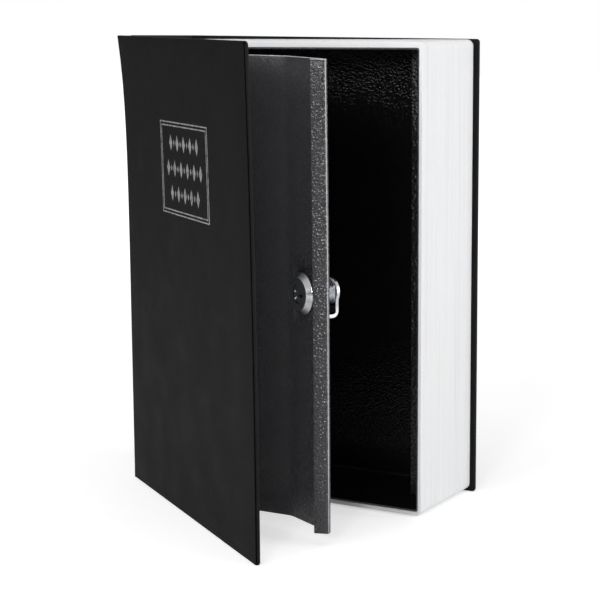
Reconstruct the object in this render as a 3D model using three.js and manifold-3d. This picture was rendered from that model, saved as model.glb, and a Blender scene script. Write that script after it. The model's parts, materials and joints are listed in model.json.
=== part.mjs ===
// Book diversion safe: a hard-cover book that holds a steel box with a locking inner door.
// The book stands on its tail with the cover and the inner door ajar.
// Units are millimetres. X runs from the spine to the fore-edge, Y from the front cover to the back cover, Z up.
// The origin is the middle of the back cover's tail edge, which stands on the table.
import * as THREE from 'three';
import { mergeVertices } from 'three/addons/utils/BufferGeometryUtils.js';
import Module from 'manifold-3d';

const wasm = await Module();
wasm.setup();

// Book size
const bookHeight = 265;
const bookWidth = 195;
const bookDepth = 67.6;
const coverOpenDegrees = 36;
const doorOpenDegrees = 28;

// Cover boards: a greyboard core wrapped in leatherette, with an endpaper inside
const skin = 0.4;
const core = 1.4;
const glueGap = 0.3;
const innerLayer = 0.4;
const boardCorner = 2;
const turnIn = 12;
const coverGap = 0.3;
const jointGap = 1;
const spineFront = 0.6;
const clothThickness = 0.4;
const clothBulge = 1.6;
const clothReturn = 1;

// Page block: a moulded strip along head, fore-edge and tail that looks like the cut pages
const foreSquare = 3.1;
const tailSquare = 1.2;
const headSquare = 1.5;
const pageWallFore = 2;
const pageWallHead = 3.3;
const pageWallTail = 2.2;
const pageCorner = 4;
const pageInnerCorner = 1.4;
const seatGap = 0.1;

// Steel box
const steel = 1;
const boxCorner = 1.8;
const mouthRecess = 0.3;

// Strike angle on the fore-edge wall: the cam turns behind it, and two tabs stop the door
const strikeThickness = 1.2;
const strikeDepth = 28;
const strikeReach = 17.1;
const strikeLeg = 16;
const strikeEndGap = 0.4;
const stopClearance = 0.4;
const stopTabWidth = 12;
const stopTabInset = 10;
const stopTabOffset = 6.2;

// Inner door: one bent steel sheet with a recessed lock channel and a hooked pull lip
const doorSheet = 1;
const doorTailClearance = 2.4;
const doorHeadClearance = 3.5;
const doorStart = 3.2;
const doorSideClearance = 1.6;
const rampRun = 26.4;
const channelWidth = 40;
const channelDepth = 14.4;
const lipBack = 6.1;
const lipRise = 6.6;
const rampBend = 9;
const channelBend = 12;
const lipBend = 0.8;

// Hinges of the inner door
const knuckleRadius = 2.4;
const pinRadius = 1.2;
const pinClearance = 0.2;
const hingeSetback = 3.5;
const hingeClearance = 0.3;
const leafThickness = 1;
const leafHeight = 36;
const doorLeafWidth = 16;
const boxLeafWidth = 14;
const middleKnuckle = 16;
const hingeInset = 30;
const pinHeadRadius = 2;
const pinHead = 1;

// Cam lock
const lockInset = 27.1;
const lockHeight = 132;
const lockGap = 0.3;
const bezelRadius = 11.6;
const bezelTopRadius = 8.8;
const bezelHeight = 3;
const bezelFoot = 0.6;
const faceRadius = 8.3;
const faceRecess = 0.8;
const faceThickness = 0.4;
const barrelRadius = 8;
const barrelFlat = 14.2;
const barrelLength = 16.5;
const plugRadius = 5;
const tailSquareSide = 5.4;
const keywayLength = 7;
const keywayWaist = 1.2;
const keywayFlare = 3.4;
const keywayDepth = 13;
const nutAcrossCorners = 23.1;
const nutThickness = 3.4;
const camThickness = 2.1;
const camHeadRadius = 7.3;
const camHalfWidth = 6;
const camReach = 13.9;
const camHook = 6.7;
const camBend = 1.6;
const washerRadius = 4.2;
const washerThickness = 0.6;
const screwHeadRadius = 2.9;
const screwHead = 1.4;
const screwRadius = 1.5;
const screwLength = 6;

// Shared cut overrun and the fineness of curves
const overrun = 1;
const bendSteps = 5;
const cornerSteps = 6;
const clothSteps = 8;
const knuckleSides = 28;
const lockSides = 44;

// Derived sizes
const boardThickness = skin + glueGap + core + glueGap + innerLayer;
const backInner = bookDepth - boardThickness;
const pagesRight = bookWidth - foreSquare;
const pagesTop = bookHeight - headSquare;
const boxLeft = boardThickness + seatGap;
const boxRight = pagesRight - pageWallFore - seatGap;
const boxTail = tailSquare + pageWallTail + seatGap;
const boxHead = pagesTop - pageWallHead - seatGap;
const boxBack = backInner - seatGap;
const hingeX = boxLeft + steel + seatGap + hingeClearance + knuckleRadius;
const hingeY = hingeSetback;
const doorTail = boxTail + steel + doorTailClearance;
const doorHead = boxHead - steel - doorHeadClearance;
const doorWidth = boxRight - steel - doorSideClearance - hingeX;
const channelStart = doorWidth - channelWidth;
const rampStart = channelStart - rampRun;
const lockAcross = doorWidth - lockInset;
const lipTipX = doorWidth - lipBack;
const lipTipY = channelDepth - lipRise;
const coverTurn = -THREE.MathUtils.degToRad(coverOpenDegrees);
const doorTurn = -THREE.MathUtils.degToRad(doorOpenDegrees);

// Colours and finishes, one short entry for each
const finishes = {
  leatherette: { color: 0x17181a, roughness: 0.55, metalness: 0 },
  greyboard: { color: 0x8b857b, roughness: 0.9, metalness: 0 },
  endpaper: { color: 0xe7e6e2, roughness: 0.75, metalness: 0 },
  pages: { color: 0xe9eaec, roughness: 0.5, metalness: 0 },
  hammertone: { color: 0x25262a, roughness: 0.45, metalness: 0.3 },
  zinc: { color: 0xc9ccd0, roughness: 0.3, metalness: 0.9 },
  chrome: { color: 0xd7dadd, roughness: 0.15, metalness: 1 },
  gunmetal: { color: 0x3a3d42, roughness: 0.4, metalness: 0.7 },
};

// Solid helpers: a geometry becomes a solid for cutting, and the result becomes a geometry again
function solidOf(geometry) {
  const bare = geometry.clone();
  bare.deleteAttribute('normal');
  bare.deleteAttribute('uv');
  const merged = mergeVertices(bare);
  return new wasm.Manifold(new wasm.Mesh({
    numProp: 3,
    vertProperties: new Float32Array(merged.attributes.position.array),
    triVerts: new Uint32Array(merged.index.array),
  }));
}

function geometryOf(solid) {
  const mesh = solid.getMesh();
  const geometry = new THREE.BufferGeometry();
  geometry.setAttribute('position', new THREE.BufferAttribute(mesh.vertProperties, 3));
  geometry.setIndex(new THREE.BufferAttribute(mesh.triVerts, 1));
  return geometry;
}

function joined(...geometries) {
  return geometryOf(geometries.map(solidOf).reduce((whole, part) => whole.add(part)));
}

function cut(geometry, ...tools) {
  return geometryOf(tools.map(solidOf).reduce((rest, tool) => rest.subtract(tool), solidOf(geometry)));
}

function block([x0, x1], [y0, y1], [z0, z1]) {
  const box = new THREE.BoxGeometry(x1 - x0, y1 - y0, z1 - z0);
  return box.translate((x0 + x1) / 2, (y0 + y1) / 2, (z0 + z1) / 2);
}

// An upright prism: an outline in plan, raised from z0 to z1
function upright(outline, [z0, z1]) {
  const shape = new THREE.Shape(outline);
  const raised = new THREE.ExtrudeGeometry(shape, { depth: z1 - z0, bevelEnabled: false });
  return raised.translate(0, 0, z0);
}

// A slab: an outline seen from the front, in X and Z, running back from y0 to y1
function slab(outline, [y0, y1]) {
  const shape = new THREE.Shape(outline);
  const flat = new THREE.ExtrudeGeometry(shape, { depth: y1 - y0, bevelEnabled: false });
  return flat.rotateX(Math.PI / 2).translate(0, y1, 0);
}

// A lathe part about a local Y axis, from radius and depth points listed round its section
function turned(points, sides) {
  const loop = points.map(([radius, depth]) => new THREE.Vector2(radius, depth));
  if (THREE.ShapeUtils.area(loop) < 0) loop.reverse();
  loop.push(loop[0].clone());
  return new THREE.LatheGeometry(loop, sides);
}

// An upright round bar
function bar(radius, [z0, z1], x, y) {
  const round = new THREE.CylinderGeometry(radius, radius, z1 - z0, knuckleSides);
  return round.rotateX(Math.PI / 2).translate(x, y, (z0 + z1) / 2);
}

// A rectangle in X and Z whose chosen corners are rounded; left corners stay sharp unless asked for
function roundedRectangle([x0, x1], [z0, z1], radius, roundLeft) {
  const left = roundLeft ? radius : 0;
  const corners = [
    [x1 - radius, z0 + radius, -Math.PI / 2, radius],
    [x1 - radius, z1 - radius, 0, radius],
    [x0 + left, z1 - left, Math.PI / 2, left],
    [x0 + left, z0 + left, Math.PI, left],
  ];
  const outline = [];
  for (const [centreX, centreZ, from, bend] of corners) {
    const steps = bend > 0 ? cornerSteps : 0;
    for (let step = 0; step <= steps; step += 1) {
      const angle = from + (steps ? (step / steps) * Math.PI / 2 : 0);
      outline.push(new THREE.Vector2(centreX + bend * Math.cos(angle), centreZ + bend * Math.sin(angle)));
    }
  }
  return outline;
}

// A bent path moved sideways by an offset: each corner is an arc whose radius allows for the offset
function bentPath(corners, radii, offset) {
  const path = [];
  corners.forEach((corner, index) => {
    const before = corners[index - 1];
    const after = corners[index + 1];
    const heading = after ? after.clone().sub(corner).normalize() : corner.clone().sub(before).normalize();
    const arrival = before ? corner.clone().sub(before).normalize() : heading;
    const turn = Math.atan2(arrival.cross(heading), arrival.dot(heading));
    const side = new THREE.Vector2(-arrival.y, arrival.x).rotateAround(new THREE.Vector2(), turn / 2);
    const mitre = corner.clone().addScaledVector(side, offset / Math.cos(turn / 2));
    if (!before || !after) {
      path.push(mitre);
      return;
    }
    const radius = radii[index] - Math.sign(turn) * offset;
    const start = mitre.clone().addScaledVector(arrival, -radius * Math.tan(Math.abs(turn) / 2));
    const towardCentre = new THREE.Vector2(-arrival.y, arrival.x).multiplyScalar(Math.sign(turn) * radius);
    const centre = start.clone().add(towardCentre);
    for (let step = 0; step <= bendSteps; step += 1) {
      path.push(start.clone().rotateAround(centre, (turn * step) / bendSteps));
    }
  });
  return path;
}

function bentSheet(corners, radii, thickness) {
  const face = bentPath(corners, radii, 0);
  const back = bentPath(corners, radii, thickness);
  return [...face, ...back.reverse()];
}

function piece(name, finish, geometry) {
  geometry.computeVertexNormals();
  const mesh = new THREE.Mesh(geometry, new THREE.MeshStandardMaterial(finishes[finish]));
  mesh.name = name;
  return mesh;
}

// The book body: everything that stays with the back cover and the spine
const bookBody = new THREE.Group();
bookBody.position.set(-bookWidth / 2, boardThickness / 2 - bookDepth, 0);

const full = [0, bookHeight];

function boardOutline(x0, x1, inset) {
  return roundedRectangle([x0, x1], [inset, bookHeight - inset], boardCorner - inset, false);
}

// Leatherette over the spine and the back board in one sheet, turned in round the edges
function backAndSpineWrap() {
  const boards = joined(
    slab(boardOutline(0, bookWidth, 0), [backInner, bookDepth]),
    block([0, boardThickness], [spineFront, bookDepth], full),
  );
  const backHollow = slab(boardOutline(skin, bookWidth - skin, skin), [backInner + innerLayer, bookDepth - skin]);
  const spineHollow = block(
    [skin, boardThickness - innerLayer],
    [spineFront + skin, backInner],
    [skin, bookHeight - skin],
  );
  const backWindow = block(
    [boardThickness + turnIn, bookWidth - turnIn],
    [backInner - overrun, backInner + innerLayer + glueGap],
    [turnIn, bookHeight - turnIn],
  );
  const spineWindow = block(
    [boardThickness - innerLayer - glueGap, boardThickness + overrun],
    [spineFront + turnIn, backInner - turnIn],
    [turnIn, bookHeight - turnIn],
  );
  return cut(boards, backHollow, spineHollow, backWindow, spineWindow);
}

function backBoard() {
  const edge = skin + glueGap;
  return slab(boardOutline(edge, bookWidth - edge, edge), [backInner + innerLayer + glueGap, bookDepth - edge]);
}

function backEndpaper() {
  return block(
    [boardThickness + turnIn + glueGap, bookWidth - turnIn - glueGap],
    [backInner, backInner + innerLayer],
    [turnIn + glueGap, bookHeight - turnIn - glueGap],
  );
}

function spineBoard() {
  const edge = skin + glueGap;
  return block(
    [edge, boardThickness - innerLayer - glueGap],
    [spineFront + edge, backInner - glueGap],
    [edge, bookHeight - edge],
  );
}

// The strip of leatherette that bends between the spine and the front cover
function frontJointCloth() {
  const turn = (across, back) => new THREE.Vector2(across, back).rotateAround(new THREE.Vector2(), coverTurn);
  const middle = coverGap + boardThickness - skin / 2;
  const start = new THREE.Vector2(skin / 2, spineFront - glueGap);
  const end = turn(jointGap - glueGap, -middle);
  const along = turn(1, 0);
  const curve = new THREE.CubicBezierCurve(
    start,
    start.clone().sub(new THREE.Vector2(0, clothBulge)),
    end.clone().addScaledVector(along, -clothReturn),
    end,
  );
  const outer = [];
  const inner = [];
  for (let step = 0; step <= clothSteps; step += 1) {
    const point = curve.getPoint(step / clothSteps);
    const heading = curve.getTangent(step / clothSteps);
    const side = new THREE.Vector2(-heading.y, heading.x);
    outer.push(point.clone().addScaledVector(side, clothThickness / 2));
    inner.push(point.clone().addScaledVector(side, -clothThickness / 2));
  }
  return upright([...outer, ...inner.reverse()], full);
}

// The page strip runs along head, fore-edge and tail, and is open at the spine
function pageBlock() {
  const outer = roundedRectangle([boxLeft, pagesRight], [tailSquare, pagesTop], pageCorner, false);
  const inner = roundedRectangle(
    [boxLeft - overrun, pagesRight - pageWallFore],
    [tailSquare + pageWallTail, pagesTop - pageWallHead],
    pageInnerCorner,
    false,
  );
  return cut(slab(outer, [0, boxBack]), slab(inner, [-overrun, backInner + overrun]));
}

// The steel box is a tray with its mouth to the front
function steelBox() {
  const outer = roundedRectangle([boxLeft, boxRight], [boxTail, boxHead], boxCorner, true);
  const inner = roundedRectangle(
    [boxLeft + steel, boxRight - steel],
    [boxTail + steel, boxHead - steel],
    boxCorner - steel,
    true,
  );
  return cut(slab(outer, [mouthRecess, boxBack]), slab(inner, [-overrun, boxBack - steel]));
}

// The strike angle: a leg on the fore-edge wall, a flange for the cam and two tabs for the door
function strikeAngle() {
  const wall = boxRight - steel - seatGap;
  const flangeEdge = wall - strikeReach;
  const ends = [boxTail + steel + strikeEndGap, boxHead - steel - strikeEndGap];
  const doorBack = hingeY + channelDepth + doorSheet;
  const tabX = flangeEdge + stopTabOffset;
  const tab = (low) => block(
    [tabX, tabX + strikeThickness],
    [doorBack + stopClearance, strikeDepth + strikeThickness],
    [low, low + stopTabWidth],
  );
  return joined(
    block([flangeEdge, wall], [strikeDepth, strikeDepth + strikeThickness], ends),
    block([wall - strikeThickness, wall], [strikeDepth, strikeDepth + strikeLeg], ends),
    tab(ends[0] + stopTabInset),
    tab(ends[1] - stopTabInset - stopTabWidth),
  );
}

bookBody.add(
  piece('back_and_spine_wrap', 'leatherette', backAndSpineWrap()),
  piece('back_cover_board', 'greyboard', backBoard()),
  piece('back_endpaper', 'endpaper', backEndpaper()),
  piece('spine_board', 'greyboard', spineBoard()),
  piece('front_joint_cloth', 'leatherette', frontJointCloth()),
  piece('page_block', 'pages', pageBlock()),
  piece('steel_box', 'hammertone', steelBox()),
  piece('strike_angle', 'hammertone', strikeAngle()),
);

// The front cover turns about the spine's front corner
const frontCover = new THREE.Group();
frontCover.rotation.z = coverTurn;

const coverInner = -coverGap;
const coverOuter = -coverGap - boardThickness;

function frontCoverWrap() {
  const board = slab(boardOutline(jointGap, bookWidth, 0), [coverOuter, coverInner]);
  const hollow = slab(
    boardOutline(jointGap + skin, bookWidth - skin, skin),
    [coverOuter + skin, coverInner - innerLayer],
  );
  const opening = block(
    [jointGap + turnIn, bookWidth - turnIn],
    [coverInner - innerLayer - glueGap, coverInner + overrun],
    [turnIn, bookHeight - turnIn],
  );
  return cut(board, hollow, opening);
}

function frontBoard() {
  const edge = skin + glueGap;
  return slab(
    boardOutline(jointGap + edge, bookWidth - edge, edge),
    [coverOuter + edge, coverInner - innerLayer - glueGap],
  );
}

function frontEndpaper() {
  return block(
    [jointGap + turnIn + glueGap, bookWidth - turnIn - glueGap],
    [coverInner - innerLayer, coverInner],
    [turnIn + glueGap, bookHeight - turnIn - glueGap],
  );
}

frontCover.add(
  piece('front_cover_wrap', 'leatherette', frontCoverWrap()),
  piece('front_cover_board', 'greyboard', frontBoard()),
  piece('front_endpaper', 'endpaper', frontEndpaper()),
);
bookBody.add(frontCover);

// The inner door turns about the hinge axis just inside the box's spine wall
const innerDoor = new THREE.Group();
innerDoor.position.set(hingeX, hingeY, 0);
innerDoor.rotation.z = doorTurn;

// The door sheet: flat panel, ramp, lock channel and a lip folded back over the channel
function doorPanel() {
  const corners = [
    [doorStart, 0],
    [rampStart, 0],
    [channelStart, channelDepth],
    [doorWidth, channelDepth],
    [lipTipX, lipTipY],
  ].map(([across, back]) => new THREE.Vector2(across, back));
  const outline = bentSheet(corners, [0, rampBend, channelBend, lipBend, 0], doorSheet);
  const sheet = upright(outline, [doorTail, doorHead]);
  const lockHole = turned([
    [0, -overrun],
    [barrelRadius + lockGap, -overrun],
    [barrelRadius + lockGap, doorSheet + overrun],
    [0, doorSheet + overrun],
  ], lockSides);
  return cut(sheet, lockHole.translate(lockAcross, channelDepth, lockHeight));
}

// Each hinge has a leaf on the box with two knuckles, a leaf on the door with one, and a pin
const doorMiddle = (doorTail + doorHead) / 2;
const hingeOffset = (doorHead - doorTail) / 2 - hingeInset - leafHeight / 2;
const boreRadius = pinRadius + pinClearance;
const reliefRadius = knuckleRadius + hingeClearance;

function knuckleSpans(middle) {
  const span = [middle - leafHeight / 2, middle + leafHeight / 2];
  const centre = [middle - middleKnuckle / 2, middle + middleKnuckle / 2];
  const outer = [
    [span[0], centre[0] - hingeClearance],
    [centre[1] + hingeClearance, span[1]],
  ];
  return { span, centre, outer };
}

function boxLeaf(middle) {
  const { span, centre, outer } = knuckleSpans(middle);
  const inside = boxLeft + steel + seatGap;
  const plate = block([inside, inside + leafThickness], [hingeY, hingeY + boxLeafWidth], span);
  const knuckles = outer.map((reach) => bar(knuckleRadius, reach, hingeX, hingeY));
  const relief = bar(reliefRadius, [centre[0] - hingeClearance, centre[1] + hingeClearance], hingeX, hingeY);
  const bore = bar(boreRadius, [span[0] - overrun, span[1] + overrun], hingeX, hingeY);
  return cut(joined(plate, ...knuckles), relief, bore);
}

function doorLeaf(middle) {
  const { span, centre, outer } = knuckleSpans(middle);
  const front = doorSheet + hingeClearance;
  const plate = block([0, doorLeafWidth], [front, front + leafThickness], span);
  const knuckle = bar(knuckleRadius, centre, 0, 0);
  const reliefs = outer.map(([low, high]) => bar(reliefRadius, [
    low - (low === span[0] ? overrun : hingeClearance),
    high + (high === span[1] ? overrun : hingeClearance),
  ], 0, 0));
  const bore = bar(boreRadius, [centre[0] - overrun, centre[1] + overrun], 0, 0);
  return cut(joined(plate, knuckle), ...reliefs, bore);
}

function hingePin(middle) {
  const { span } = knuckleSpans(middle);
  const top = span[1] + pinClearance;
  return joined(
    bar(pinRadius, [span[0], top + pinHead / 2], hingeX, hingeY),
    bar(pinHeadRadius, [top, top + pinHead], hingeX, hingeY),
  );
}

innerDoor.add(piece('door_panel', 'hammertone', doorPanel()));
for (const [place, side] of [['upper', 1], ['lower', -1]]) {
  const middle = doorMiddle + side * hingeOffset;
  bookBody.add(piece(`box_hinge_leaf_${place}`, 'hammertone', boxLeaf(middle)));
  bookBody.add(piece(`hinge_pin_${place}`, 'zinc', hingePin(middle)));
  innerDoor.add(piece(`door_hinge_leaf_${place}`, 'hammertone', doorLeaf(middle)));
}
bookBody.add(innerDoor);

// The cam lock stands on the channel floor: local Y runs from the key side into the box
const lock = new THREE.Group();
lock.position.set(lockAcross, channelDepth, lockHeight);
const plugBore = plugRadius + lockGap;
const bezelTop = -lockGap - bezelHeight;
const faceSeat = bezelTop + faceRecess;
const plugShoulder = barrelLength + lockGap;
const camFront = plugShoulder + lockGap;
const camBack = camFront + camThickness;
const washerFront = camBack + lockGap;
const screwFront = washerFront + washerThickness + lockGap;

// Die-cast housing: bevelled head outside the door, and a barrel with two flats through it
function lockHousing() {
  const housing = turned([
    [plugBore, faceSeat],
    [faceRadius, faceSeat],
    [faceRadius, bezelTop],
    [bezelTopRadius, bezelTop],
    [bezelRadius, -lockGap - bezelFoot],
    [bezelRadius, -lockGap],
    [barrelRadius, -lockGap],
    [barrelRadius, barrelLength],
    [plugBore, barrelLength],
  ], lockSides);
  const behindHead = [-lockGap, barrelLength + overrun];
  const flats = [[-bezelRadius, -barrelFlat / 2], [barrelFlat / 2, bezelRadius]];
  return cut(housing, ...flats.map((across) => block(across, behindHead, [-bezelRadius, bezelRadius])));
}

function lockFace() {
  return turned([
    [plugBore, faceSeat - lockGap - faceThickness],
    [faceRadius - lockGap, faceSeat - lockGap - faceThickness],
    [faceRadius - lockGap, faceSeat - lockGap],
    [plugBore, faceSeat - lockGap],
  ], lockSides);
}

function lockNut() {
  const outline = [];
  for (let corner = 0; corner < 6; corner += 1) {
    const angle = (corner / 6) * 2 * Math.PI;
    outline.push(new THREE.Vector2(Math.cos(angle), Math.sin(angle)).multiplyScalar(nutAcrossCorners / 2));
  }
  const start = doorSheet + lockGap;
  const hole = turned([
    [0, start - overrun],
    [barrelRadius + lockGap, start - overrun],
    [barrelRadius + lockGap, start + nutThickness + overrun],
    [0, start + nutThickness + overrun],
  ], lockSides);
  return cut(slab(outline, [start, start + nutThickness]), hole);
}

// The plug turns in the housing and carries the cam on its square tail
const lockPlug = new THREE.Group();

function plug() {
  const round = turned([
    [0, bezelTop],
    [plugRadius, bezelTop],
    [plugRadius, plugShoulder],
    [0, plugShoulder],
  ], lockSides);
  const half = tailSquareSide / 2;
  const squareTail = block([-half, half], [plugShoulder - overrun, camBack], [-half, half]);
  const bowTie = [
    [-keywayLength / 2, -keywayFlare / 2],
    [0, -keywayWaist / 2],
    [keywayLength / 2, -keywayFlare / 2],
    [keywayLength / 2, keywayFlare / 2],
    [0, keywayWaist / 2],
    [-keywayLength / 2, keywayFlare / 2],
  ].map(([across, up]) => new THREE.Vector2(across, up));
  const keyway = slab(bowTie, [bezelTop - overrun, bezelTop + keywayDepth]);
  const thread = turned([
    [0, screwFront - screwLength - lockGap],
    [screwRadius + lockGap, screwFront - screwLength - lockGap],
    [screwRadius + lockGap, camBack + overrun],
    [0, camBack + overrun],
  ], knuckleSides);
  return cut(joined(round, squareTail), keyway, thread);
}

// The cam hangs down unlocked, and its end is bent towards the door to hook behind the strike
function cam() {
  const side = [
    [camBack - camHook, -camReach],
    [camBack - camHook, -camReach + camThickness],
    [camFront - camBend, -camReach + camThickness],
    [camFront, -camReach + camThickness + camBend],
    [camFront, 0],
    [camBack, 0],
    [camBack, -camReach + camBend + camThickness],
    [camBack - camBend - camThickness, -camReach],
  ].map(([back, up]) => new THREE.Vector2(back, up));
  const arm = new THREE.ExtrudeGeometry(new THREE.Shape(side), { depth: 2 * camHalfWidth, bevelEnabled: false });
  arm.rotateX(Math.PI / 2).rotateZ(Math.PI / 2).translate(-camHalfWidth, 0, 0);
  const head = turned([[0, camFront], [camHeadRadius, camFront], [camHeadRadius, camBack], [0, camBack]], lockSides);
  const half = tailSquareSide / 2 + lockGap;
  const hole = block([-half, half], [camFront - overrun, camBack + overrun], [-half, half]);
  return cut(joined(head, arm), hole);
}

function camWasher() {
  const back = washerFront + washerThickness;
  const hole = screwRadius + lockGap;
  return turned([[hole, washerFront], [washerRadius, washerFront], [washerRadius, back], [hole, back]], knuckleSides);
}

function camScrew() {
  return turned([
    [0, screwFront - screwLength],
    [screwRadius, screwFront - screwLength],
    [screwRadius, screwFront],
    [screwHeadRadius, screwFront],
    [screwHeadRadius, screwFront + screwHead],
    [0, screwFront + screwHead],
  ], knuckleSides);
}

lock.add(
  piece('lock_housing', 'chrome', lockHousing()),
  piece('lock_face', 'gunmetal', lockFace()),
  piece('lock_nut', 'zinc', lockNut()),
);
lockPlug.add(
  piece('lock_plug', 'gunmetal', plug()),
  piece('lock_cam', 'zinc', cam()),
  piece('cam_washer', 'zinc', camWasher()),
  piece('cam_screw', 'zinc', camScrew()),
);
lock.add(lockPlug);
innerDoor.add(lock);

const bookSafe = new THREE.Group();
bookSafe.name = 'book_safe';
bookSafe.add(bookBody);

export default bookSafe;
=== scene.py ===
# %% [markdown]
# A book diversion safe: a hard-cover book that hides a steel box behind its cover.
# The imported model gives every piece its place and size. This script dresses it: leatherette on the
# boards, white moulded page edges, hammered enamel on the steel, and a chromed cam lock.
# Each step starts with a few words on the real thing and on how it is made here.

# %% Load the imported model
import json
import math
import random

import bmesh
import bpy
from mathutils import Matrix, Vector
from mathutils.geometry import tessellate_polygon


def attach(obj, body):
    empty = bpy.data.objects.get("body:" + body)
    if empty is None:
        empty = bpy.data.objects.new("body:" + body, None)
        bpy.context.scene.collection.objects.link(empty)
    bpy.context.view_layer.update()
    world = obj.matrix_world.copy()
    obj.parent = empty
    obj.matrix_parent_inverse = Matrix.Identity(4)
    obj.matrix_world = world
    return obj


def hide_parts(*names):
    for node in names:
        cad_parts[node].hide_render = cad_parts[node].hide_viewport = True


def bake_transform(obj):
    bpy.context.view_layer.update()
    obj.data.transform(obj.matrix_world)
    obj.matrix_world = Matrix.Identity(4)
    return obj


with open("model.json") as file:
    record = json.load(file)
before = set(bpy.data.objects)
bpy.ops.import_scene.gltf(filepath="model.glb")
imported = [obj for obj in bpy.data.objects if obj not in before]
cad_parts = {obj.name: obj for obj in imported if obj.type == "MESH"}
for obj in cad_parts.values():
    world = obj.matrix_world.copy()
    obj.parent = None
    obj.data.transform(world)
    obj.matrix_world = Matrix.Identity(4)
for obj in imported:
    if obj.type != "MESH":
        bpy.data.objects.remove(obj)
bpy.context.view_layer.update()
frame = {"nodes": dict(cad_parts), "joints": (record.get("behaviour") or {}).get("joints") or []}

mm = 0.001

# %% [markdown]
# The camera stands in front of the fore-edge corner, a little above the book, with a long lens.
# Its place and focal length come from a fit to the straight edges of the book in the photograph.
# A camera could also be set by eye, but a fitted one lets every later piece be compared line by line.

# %% Camera
image_size = 600
camera_azimuth, camera_elevation, camera_roll = 30.215, 9.338, -0.417
camera_place = Vector((512.116, -915.589, 279.494)) * mm
focal_pixels = 1751.64
sensor_width = 36

camera_data = bpy.data.cameras.new("camera")
camera_data.sensor_width = sensor_width
camera_data.lens = focal_pixels * sensor_width / image_size
camera = bpy.data.objects.new("camera", camera_data)
turn = Matrix.Rotation(math.radians(camera_azimuth), 4, "Z")
tilt = Matrix.Rotation(math.radians(90 - camera_elevation), 4, "X")
roll = Matrix.Rotation(math.radians(camera_roll), 4, "Z")
camera.matrix_world = Matrix.Translation(camera_place) @ turn @ tilt @ roll
bpy.context.scene.collection.objects.link(camera)
bpy.context.scene.camera = camera
print("lens", round(camera_data.lens, 1), "mm")

# %% [markdown]
# The hinges say where each moving part stands. A piece is easiest to draw in the place where its part
# is shut and square, so each body gets a place: a matrix from those plain coordinates to the model's.
# In a place, X runs away from the spine, Y toward the back cover and Z up. The lock's place also
# scales, so that the lock's small sizes can be written in millimetres.

# %% Places of the body, the cover, the door and the lock
joints = {joint["name"]: joint for joint in frame["joints"]}
cover_joint, door_joint = joints["front_cover_hinge"], joints["inner_door_hinge"]


def closed_turn(joint):
    return Matrix.Rotation(math.radians(joint["range_deg"][0]), 4, "Z")


def foot_of(joint):
    """The point where a hinge line meets the surface that the book stands on."""
    return Matrix.Translation((joint["pos_m"][0], joint["pos_m"][1], 0))


def extent(node, place):
    """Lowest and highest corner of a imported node, in the coordinates of a place."""
    back = place.inverted()
    points = [back @ vertex.co for vertex in frame["nodes"][node].data.vertices]
    low = Vector(min(point[axis] for point in points) for axis in range(3))
    high = Vector(max(point[axis] for point in points) for axis in range(3))
    return low, high


book_place = foot_of(cover_joint)
cover_place = foot_of(cover_joint) @ closed_turn(cover_joint)
door_place = foot_of(door_joint) @ closed_turn(door_joint)
lock_centre = Matrix.Translation(joints["lock_plug_turn"]["pos_m"])
lock_place = lock_centre @ closed_turn(door_joint) @ Matrix.Scale(mm, 4)
for name, place in (("front_cover_wrap", cover_place), ("door_panel", door_place)):
    low, high = extent(name, place)
    print(name, [round(value / mm, 2) for value in (*low, *high)], "mm")

# %% [markdown]
# A shader is a tree of nodes. A few short helpers add a node, set it and link what feeds it, so that a
# material reads as a list. Numbers that are the same all over are set on the shader itself.

# %% Helpers for shader nodes
# The Mix node keeps a set of sockets for each kind of value: these are a share, two colours and their mix
mix_share, mix_first, mix_second, mix_result = 0, 6, 7, 2


def add(tree, kind, inputs=None, **settings):
    """Adds a node, and gives each input named a value, or a link from another node's output."""
    made = tree.nodes.new("ShaderNode" + kind)
    for name, value in settings.items():
        setattr(made, name, value)
    for socket, value in (inputs or {}).items():
        if isinstance(value, bpy.types.NodeSocket):
            tree.links.new(value, made.inputs[socket])
        else:
            made.inputs[socket].default_value = value
    return made


def feed(tree, target, **values):
    """Links outputs to the inputs of a node that is there already."""
    for socket, value in values.items():
        tree.links.new(value, target.inputs[socket.replace("_", " ")])


def scaled(tree, value, span, to=(0, 1), smooth=False):
    """Carries a value from one span of numbers to another, and holds it at the ends."""
    limits = {"From Min": span[0], "From Max": span[1], "To Min": to[0], "To Max": to[1]}
    style = "SMOOTHSTEP" if smooth else "LINEAR"
    return add(tree, "MapRange", {"Value": value, **limits}, interpolation_type=style).outputs["Result"]


def uneven(tree, pattern, low, high):
    """A value that wanders from low to high with a noise, whose own values gather about a half."""
    return scaled(tree, pattern, (0.3, 0.7), (low, high))


def blended(tree, share, first, second):
    """A mix of two colours; a plain colour is written as red, green and blue."""
    colours = [value if isinstance(value, bpy.types.NodeSocket) else (*value, 1) for value in (first, second)]
    inputs = {mix_share: share, mix_first: colours[0], mix_second: colours[1]}
    return add(tree, "Mix", inputs, data_type="RGBA").outputs[mix_result]


def computed(tree, operation, *values):
    return add(tree, "Math", dict(enumerate(values)), operation=operation).outputs[0]


def noise(tree, where, scale, detail, **more):
    return add(tree, "TexNoise", {"Vector": where, "Scale": scale, "Detail": detail, **more}).outputs["Fac"]


def stretched(tree, where, scale):
    return add(tree, "Mapping", {"Vector": where, "Scale": scale}).outputs[0]


def place_in(tree):
    return add(tree, "TexCoord").outputs["Object"]


def toward(tree, vector, direction):
    """How far a vector points along a direction."""
    return add(tree, "VectorMath", {0: vector, 1: direction}, operation="DOT_PRODUCT").outputs["Value"]


# %% [markdown]
# A material here is one shader whose sockets are set by name, and mostly a bump for its fine relief.
# Bump changes the shading only. Relief that shows along an edge, such as the page lines, is modelled.

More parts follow.
